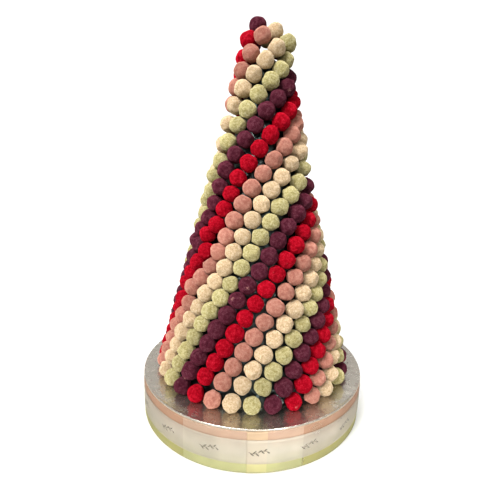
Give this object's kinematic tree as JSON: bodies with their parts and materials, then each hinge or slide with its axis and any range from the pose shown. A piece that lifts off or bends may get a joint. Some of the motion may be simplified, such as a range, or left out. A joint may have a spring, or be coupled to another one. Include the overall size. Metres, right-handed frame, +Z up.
{
  "type": "sweets pyramid",
  "caption": "Tall cone of rolled, dusted sweets in slanting colour stripes, standing on a thick foil-covered round drum edged with satin ribbons.",
  "frame": {"origin": "centre of the drum's underside, on the surface it stands on", "axes": "+Z up along the cone, -Y towards the front, +X to the viewer's right"},
  "size_m": [0.3584, 0.3584, 0.5961],
  "materials": {
    "silver_foil": "crinkled silver foil, glossy",
    "ribbon_pink": "sheer satin ribbon, soft sheen",
    "ribbon_ivory": "sheer satin ribbon, soft sheen",
    "ribbon_green": "sheer satin ribbon, soft sheen",
    "sweet_coating": "matt coating dusted with powder, in plum, red, pink, cream and pale green"
  },
  "bodies": {
    "root": {"cake_drum": "silver_foil", "ribbon_pink": "ribbon_pink", "ribbon_ivory": "ribbon_ivory", "ribbon_green": "ribbon_green", "sweets": "sweet_coating"}
  },
  "joints": []
}
